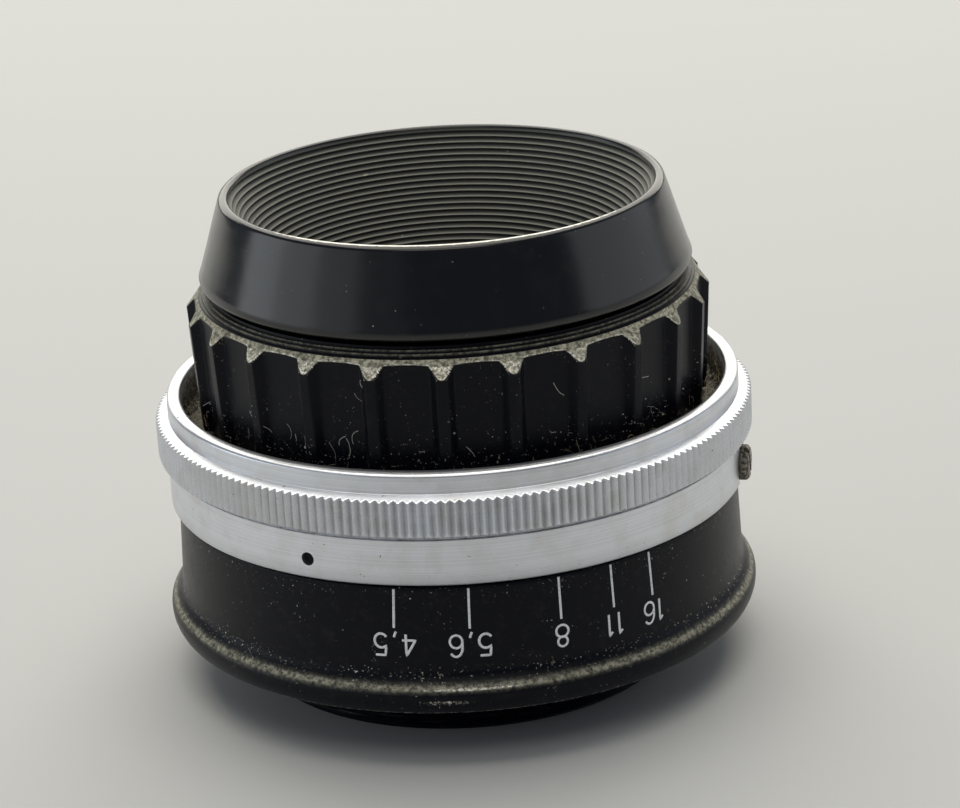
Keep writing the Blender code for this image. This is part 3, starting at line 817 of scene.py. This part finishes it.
def build_skirt():
    outer = [(BORE, SKIRT_TOP), (NECK_RADIUS - 0.25, SKIRT_TOP), (NECK_RADIUS - 0.05, SKIRT_TOP - 0.12)]
    rows = 44
    for row in range(rows + 1):
        height = SKIRT_TOP - 0.3 + (SHOULDER_BOTTOM - SKIRT_TOP + 0.3) * row / rows
        outer.append((skirt_radius(height), height))
    outer += [(SKIRT_FOOT_RADIUS, 6.3), (26.96, 5.95), (26.85, 5.6), (26.7, 5.3), (26.52, 5.06)]
    outer.append((26.4, SKIRT_BOTTOM))
    inner = [(24.4, SKIRT_BOTTOM), (24.4, 7.2), (BORE, 7.2)]
    masks = {"wear_and_highlight": skirt_wear_and_highlight, "chip_and_glint": skirt_chip_and_glint, "dust": skirt_dust}
    skirt = revolve("skirt_shell", outer + inner, even(256), masks=masks)
    place_piece(skirt, BARREL, "scale_skirt", satin_black("satin_black_skirt", 0.8))


def bow(centre, size, start, end, count=12):
    """Points on part of an ellipse, in a digit's own units."""
    made = []
    for index in range(count + 1):
        angle = math.radians(start + (end - start) * index / count)
        made.append((centre[0] + size[0] * math.cos(angle), centre[1] + size[1] * math.sin(angle)))
    return made


SIX_BACK = [(0.03, 0.34)] + bow((0.52, 0.54), (0.49, 0.46), 165, 40)

# The width that each digit takes up, and its strokes in a box one unit wide and one unit high
DIGITS = {
    "1": (0.5, [[(0.05, 0.84), (0.32, 1.0), (0.32, 0.0)]]),
    "4": (1.0, [[(0.72, 0.0), (0.72, 1.0), (0.0, 0.28), (1.0, 0.28)]]),
    "5": (1.0, [[(0.9, 1.0), (0.15, 1.0), (0.08, 0.55)] + bow((0.45, 0.33), (0.5, 0.33), 125, -145)]),
    "6": (1.0, [bow((0.48, 0.3), (0.46, 0.3), 160, 520, 20), SIX_BACK]),
    "8": (1.0, [bow((0.48, 0.28), (0.48, 0.28), 0, 360, 20), bow((0.48, 0.77), (0.38, 0.23), 0, 360, 20)]),
    ",": (0.4, [[(0.22, 0.14), (0.18, 0.03), (0.06, -0.12)]]),
}


def painted_curve(name, strokes):
    """Paint-filled strokes in one piece: (angle from -Y, height) points laid just proud of the skirt."""
    curve = tube_curve(name, STROKE / 2, 2)
    sunk = STROKE / 2 - STROKE_PROUD
    for points in strokes:
        spline = curve.splines.new("POLY")
        spline.points.add(len(points) - 1)
        for point, (around, height) in zip(spline.points, points):
            angle = math.radians(around - 90)
            radius = skirt_radius(height) - sunk
            point.co = (radius * math.cos(angle) * MM, radius * math.sin(angle) * MM, height * MM, 1)
    return link(name, curve)


def number_strokes(text, around, top):
    """The number upside down under its line, so that it reads right way up with the lens mounted."""
    widths = [DIGITS[letter][0] * DIGIT_WIDTH for letter in text]
    total = sum(widths) + DIGIT_GAP * (len(text) - 1)
    start = -total / 2
    strokes = []
    for letter, width in zip(text, widths):
        for stroke in DIGITS[letter][1]:
            points = []
            for across, up in finer(stroke, 0.12, False):
                along = start + across * DIGIT_WIDTH
                points.append((around - math.degrees(along / NECK_RADIUS), top - DIGIT_HEIGHT * up))
            strokes.append(points)
        start += width + DIGIT_GAP
    return strokes


def stop_share(text):
    """How far along the scale a stop stands, where equal turns close the iris by equal amounts."""
    openings = [1 / float(name.replace(",", ".")) for name in (STOPS[0], text, STOPS[-1])]
    return (openings[0] - openings[1]) / (openings[0] - openings[2])


def build_scale():
    paint = paint_white()
    middle = FIRST_STOP_ANGLE + SCALE_TURN / 2
    for number, text in enumerate(STOPS):
        top_angle = FIRST_STOP_ANGLE + SCALE_TURN * stop_share(text)
        foot_angle = middle + (top_angle - middle) * LINE_FAN
        foot = LINE_FOOT - SCALE_FALL * stop_share(text)
        line = []
        for step in range(5):
            share = step / 4
            around = top_angle + (foot_angle - top_angle) * share
            line.append((around, LINE_TOP + (foot - LINE_TOP) * share))
        strokes = [line] + number_strokes(text, foot_angle, foot - TEXT_DROP)
        stop = painted_curve(f"stop_{number}_paint", strokes)
        place_piece(stop, BARREL, None, paint)


# ------------------------------------------------------- mount and barrel


def thread_form(angle, radius, height):
    """A 1 mm pitch thread on the stub."""
    turns = (height - angle / (2 * math.pi)) % 1
    groove = 0.45 * np.abs(turns - 0.5) * 2
    on_thread = (radius > 19.4) & (radius < 19.6) & (height > 0.35) & (height < 4.35)
    return np.where(on_thread, radius - groove, radius)


def build_mount():
    top = [(16.5, FLANGE_TOP), (FLANGE_RADIUS, FLANGE_TOP), (FLANGE_RADIUS, 5.2), (18.9, 5.2), (18.9, 4.6)]
    stub = finer([(19.5, 4.3), (19.5, 0.4)], 0.07, False)
    foot = [(19.1, MOUNT_BOTTOM), (16.5, MOUNT_BOTTOM)]
    flange = revolve("mount_shell", top + stub + foot, even(192), thread_form)
    place_piece(flange, BARREL, "mount_flange", satin_black("satin_black_mount", 0.4))


def build_barrel():
    neck = 16.2
    bore = 14.3
    chamber = 18.3
    outline = [(chamber, BARREL_TOP), (BEARING_RADIUS, BARREL_TOP), (BEARING_RADIUS, 7.2), (neck, 7.2)]
    outline += [(neck, BARREL_BOTTOM), (bore, BARREL_BOTTOM), (bore, 13.0), (chamber, 13.0)]
    barrel = revolve("barrel_shell", soften(outline, 0.15, 2), even(160))
    slot = revolve("cutter", [(17.5, 19.55), (21.5, 19.55), (21.5, 17.25), (17.5, 17.25)], even(160))
    wedge = bmesh.new()
    wedge.from_mesh(slot.data)
    start = DRIVE_ANGLE - 4
    end = DRIVE_ANGLE + RING_TURN + 4
    outside = [face for face in wedge.faces if not start < slot_angle(face) < end]
    bmesh.ops.delete(wedge, geom=outside, context="FACES")
    bmesh.ops.holes_fill(wedge, edges=wedge.edges)
    bmesh.ops.recalc_face_normals(wedge, faces=wedge.faces)
    wedge.to_mesh(slot.data)
    wedge.free()
    carve(barrel, slot)
    place_piece(barrel, BARREL, "main_barrel", matt_black())


def slot_angle(face):
    centre = face.calc_center_median()
    return math.degrees(math.atan2(centre.y, centre.x))


def notched_ring(name, node, material, inner, outer, bottom, top):
    """A retaining ring with two spanner notches."""
    outline = soften([(inner, top), (outer, top), (outer, bottom), (inner, bottom)], 0.08, 2)
    ring = revolve(name, outline, even(128))
    upper = node == "front_lens_retainer"
    face = top if upper else bottom
    for side in (-1, 1):
        place = Matrix.Translation(Vector((0, side * (inner + outer) / 2, face)) * MM)
        carve(ring, block((0.9, (outer - inner) * 2, 0.9), place))
    place_piece(ring, BARREL, node, material)


def lens_piece(name, node, front, back, glass):
    outline = front + back[::-1]
    lens = revolve(name, outline, even(128), closed=False)
    place_piece(lens, BARREL, node, glass)


def dome(vertex, radius, edge, sign, count=20):
    """A lens surface as (radius, height) points from near the axis out to edge; sign +1 falls outwards."""
    made = []
    for index in range(count + 1):
        at = max(edge * index / count, 0.02)
        made.append((at, vertex - sign * (radius - math.sqrt(radius**2 - at**2))))
    return made


def build_optics():
    glass = coated_glass()
    matt = matt_black()
    lens_piece("front_element", "front_lens", dome(29.5, 26, 11.3, 1), [(0.02, 25.4), (11.3, 25.4)], glass)
    lens_piece("middle_element", "middle_lens", dome(22.86, 60, 9.4, -1), dome(22.27, 120, 9.4, 1), glass)
    cemented = dome(9.2, 20, 11.2, 1)
    raised = [(radius, height + 0.1) for radius, height in cemented]
    flat = [(0.02, 10.5), (11.2, 10.5)]
    lens_piece("rear_inner_element", "rear_doublet_front_element", flat, raised, glass)
    lens_piece("rear_outer_element", "rear_doublet_rear_element", cemented, dome(3.06, 28, 11.2, -1), glass)
    notched_ring("front_retainer_ring", "front_lens_retainer", matt, 10.4, 11.4, 27.5, 29.0)
    notched_ring("rear_retainer_ring", "rear_lens_retainer", turned_brass(), 10.2, 11.3, 2.6, 4.6)
    cell = [(9.4, 12.6), (14.0, 12.6), (14.0, 1.6), (11.6, 1.6), (11.6, 10.9), (9.4, 10.9)]
    rear = revolve("rear_cell_shell", soften(cell, 0.15, 2), even(160))
    place_piece(rear, BARREL, "rear_cell", matt)


# ------------------------------------------------------------------ iris


def leaf_rows(form, start):
    """The leaf's cross-sections, each a little higher than the one before."""
    spans = 90
    corners = ((LEAF_INNER, 0), (LEAF_OUTER, 0), (LEAF_OUTER, LEAF_THICKNESS), (LEAF_INNER, LEAF_THICKNESS))
    grid = []
    for step in range(spans + 1):
        local = LEAF_START + LEAF_SPAN * step / spans
        angle = math.radians(start + local)
        row = []
        for radius, lift in corners:
            height = LEAF_BASE + LEAF_RISE * local + lift
            spot = Vector((radius * math.cos(angle), radius * math.sin(angle), height))
            row.append(form.verts.new(spot * MM))
        grid.append(row)
    return grid


def add_leaf_pin(form, turn, low, high):
    """An upright pin at the pivot radius, from low to high above the leaf's foot."""
    angle = math.radians(turn)
    x = LEAF_PIVOT_RADIUS * math.cos(angle)
    y = LEAF_PIVOT_RADIUS * math.sin(angle)
    bmesh.ops.create_cone(
        form,
        cap_ends=True,
        segments=24,
        radius1=LEAF_PIN_RADIUS * MM,
        radius2=LEAF_PIN_RADIUS * MM,
        depth=(high - low) * MM,
        matrix=Matrix.Translation(Vector((x, y, LEAF_BASE + (low + high) / 2)) * MM),
    )


def build_leaves():
    """Ten thin crescents, each climbing from its pivot pin to its drive pin."""
    blued = blued_steel()
    for leaf in range(LEAVES):
        form = bmesh.new()
        start = leaf * LEAF_PITCH
        grid = leaf_rows(form, start)
        for here, there in zip(grid, grid[1:]):
            for side in range(4):
                after = (side + 1) % 4
                form.faces.new((here[side], here[after], there[after], there[side]))
        form.faces.new(grid[0][::-1])
        form.faces.new(grid[-1])
        add_leaf_pin(form, start, -1.25, 0.04)
        add_leaf_pin(form, start + LEAF_DRIVE_ANGLE, LEAF_RISE * LEAF_DRIVE_ANGLE + 0.04, 4.1)
        bmesh.ops.recalc_face_normals(form, faces=form.faces)
        piece = f"leaf_{leaf + 1:02d}"
        mesh = to_mesh(form, piece)
        mesh.shade_smooth()
        mesh.set_sharp_from_angle(angle=SHARP_ANGLE)
        node = f"iris_{piece}"
        place_piece(link(piece, mesh), node, node, blued)


# ------------------------------------------------------------------ dust


def add_crumb(form, place, size):
    """A small lump with its corners moved about at random."""
    matrix = Matrix.Translation(place * MM)
    made = bmesh.ops.create_icosphere(form, subdivisions=1, radius=size * MM, matrix=matrix)
    for vert in made["verts"]:
        vert.co += Vector([random.uniform(-0.35, 0.35) * size * MM for _ in range(3)])


def build_recess_dirt():
    """Crumbs of dirt lying in the groove between the lip and the grip ring."""
    form = bmesh.new()
    for _ in range(RECESS_CRUMBS):
        angle = random.uniform(0, 2 * math.pi)
        radius = random.triangular(23.15, LIP_INNER - 0.06, LIP_INNER - 0.1)
        bank = 1.9 * max(0, radius - 23.6) ** 1.5
        height = RECESS_FLOOR + 0.02 + max(0, random.gauss(0.1, 0.15)) + bank * random.random()
        size = random.uniform(0.03, 0.1) if random.random() < 0.93 else random.uniform(0.1, 0.17)
        add_crumb(form, Vector((radius * math.cos(angle), radius * math.sin(angle), height)), size)
    dirt = link("recess_dirt", to_mesh(form, "recess_dirt"))
    place_piece(dirt, CONTROL, None, crumb_finish())


def build_grip_crumbs():
    """Crumbs stuck to the foot of the grip ring, just above the lip."""
    form = bmesh.new()
    for _ in range(GRIP_CRUMBS):
        angle = random.uniform(0, 2 * math.pi)
        height = 26.0 + 3.2 * random.random() ** 2.6
        radius = grip_face(angle, height) + 0.01
        size = random.uniform(0.015, 0.05) if random.random() < 0.9 else random.uniform(0.06, 0.12)
        add_crumb(form, Vector((radius * math.cos(angle), radius * math.sin(angle), height)), size)
    crumbs = link("grip_crumbs", to_mesh(form, "grip_crumbs"))
    finish = Finish("pale_crumbs", (0.5, 0.48, 0.42), 0.9)
    tone = finish.band(finish.noise(3, 4), 0.4, 0.65)
    finish.set("Base Color", finish.mix(tone, (0.14, 0.12, 0.08), (0.75, 0.73, 0.68)))
    place_piece(crumbs, BARREL, None, finish.material)


def add_fibre(curve, angle, height, length, place):
    """A short wandering fibre. place(angle, height) gives the radius it lies at."""
    spline = curve.splines.new("POLY")
    spline.points.add(8)
    heading = random.uniform(0, 2 * math.pi)
    bend = random.gauss(0, 0.25)
    thickness = random.uniform(0.5, 1.2)
    for point in spline.points:
        radius = place(angle, height)
        point.co = (radius * math.cos(angle) * MM, radius * math.sin(angle) * MM, height * MM, 1)
        point.radius = thickness
        heading += bend * random.uniform(0.3, 1) + random.gauss(0, 0.12)
        angle += length / 8 * math.cos(heading) / radius
        height += length / 8 * math.sin(heading)


def grip_face(angle, height):
    """The radius of a point lying just on the fluted wall."""
    return float(grip_form(np.array(angle), np.array(GRIP_BOTTOM_RADIUS), np.array(height))) + 0.02


def build_lint():
    """Short pale fibres caught on the grip ring, and brown ones in the recess."""
    pale = tube_curve("pale_fibres", 0.02, 1)
    for _ in range(PALE_FIBRES):
        low = random.random() < 0.6
        height = random.uniform(26.6, 28.0) if low else random.uniform(28.0, 34.0)
        add_fibre(pale, random.uniform(0, 2 * math.pi), height, random.uniform(0.4, 2.2), grip_face)
    material = Finish("lint", (0.62, 0.6, 0.54), 0.9).material
    place_piece(link("pale_fibres", pale), BARREL, None, material)
    brown = tube_curve("brown_fibres", 0.018, 1)
    for _ in range(BROWN_FIBRES):
        out = random.uniform(23.1, 24.3)
        angle = random.choice((random.uniform(0, 2 * math.pi), random.uniform(-1.2, 0.1)))
        height = RECESS_FLOOR + random.uniform(1.2, 3.2)
        add_fibre(brown, angle, height, random.uniform(0.4, 1.4), lambda *_, out=out: out)
    material = Finish("brown_lint", (0.3, 0.23, 0.14), 0.9).material
    place_piece(link("brown_fibres", brown), CONTROL, None, material)


# ----------------------------------------------------------------- stage


def finish_cad_nodes():
    """The pieces that keep their CAD shape get their finish."""
    looks = {
        "iris_pivot_plate": matt_black(),
        "iris_cam_ring": turned_brass(),
        "cam_retaining_ring": turned_brass(),
        "middle_lens_retainer": matt_black(),
    }
    for node, material in looks.items():
        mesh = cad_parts[node].data
        mesh.materials.clear()
        mesh.materials.append(material)


def build_floor():
    form = bmesh.new()
    bmesh.ops.create_grid(form, x_segments=1, y_segments=1, size=2.0)
    floor = link("floor", to_mesh(form, "floor"))
    finish = Finish("pale_floor", (0.5, 0.505, 0.505), 0.85)
    floor.data.materials.append(finish.material)


def add_light(name, place, target, size, power, colour=(1, 1, 1)):
    light = bpy.data.lights.new(name, "AREA")
    light.shape = "RECTANGLE"
    light.size, light.size_y = size
    light.energy = power
    light.color = colour
    obj = bpy.data.objects.new(name, light)
    obj.location = place
    obj.rotation_euler = (Vector(target) - Vector(place)).to_track_quat("-Z", "Y").to_euler()
    bpy.context.scene.collection.objects.link(obj)


def add_panel(name, place, target, size, radiance, colour):
    """A soft light panel of the given size, as bright as radiance says."""
    add_light(name, place, target, size, radiance * math.pi * size[0] * size[1], colour)


def build_lights():
    middle = (0, 0, 0.025)
    warm = (1.0, 0.96, 0.86)
    cool = (0.92, 0.97, 1.0)
    add_panel("overhead", (0.0, 0.3, 0.8), middle, (1.0, 1.2), 2.6, warm)
    add_panel("behind", (0.0, 0.8, 0.3), middle, (1.3, 0.4), 2.0, warm)
    add_panel("front_top", (0.0, -0.5, 0.8), middle, (0.6, 0.35), 1.5, warm)
    for number, strength in enumerate((1.5, 1.0, 0.5, 0.1)):
        turn = math.radians(172 + 22 * number)
        place = (0.65 * math.cos(turn), 0.65 * math.sin(turn), 0.16)
        add_panel(f"left_window_{number}", place, middle, (0.26, 0.36), strength, cool)
    add_panel("right_window", (0.6, 0.05, 0.2), middle, (0.7, 0.36), 0.65, cool)
    world = bpy.data.worlds.new("studio")
    world.use_nodes = True
    background = world.node_tree.nodes["Background"]
    background.inputs["Color"].default_value = (0.7, 0.8, 1.0, 1)
    background.inputs["Strength"].default_value = 0.14
    bpy.context.scene.world = world
    bpy.context.scene.view_settings.view_transform = "Standard"


def build_camera():
    """The close, slightly rolled view: 290 mm away, 20 degrees above the horizon."""
    pitch = math.radians(19.82)
    pan = math.radians(0.5)
    roll = math.radians(-3.18)
    place = Vector((0, -273.01, 121.66)) * MM
    camera = bpy.data.cameras.new("camera")
    camera.sensor_width = 36
    camera.lens = 119.6
    camera.clip_start = 0.01
    obj = bpy.data.objects.new("camera", camera)
    turn = Matrix.Rotation(-pan, 4, "Z") @ Matrix.Rotation(math.pi / 2 - pitch, 4, "X")
    obj.matrix_world = Matrix.Translation(place) @ turn @ Matrix.Rotation(roll, 4, "Z")
    bpy.context.scene.collection.objects.link(obj)
    bpy.context.scene.camera = obj


build_camera()
build_lights()
build_floor()
build_hood()
build_grip()
build_aperture_ring()
build_drive_screw()
build_skirt()
build_scale()
build_mount()
build_barrel()
build_optics()
build_leaves()
build_recess_dirt()
build_grip_crumbs()
build_lint()
finish_cad_nodes()
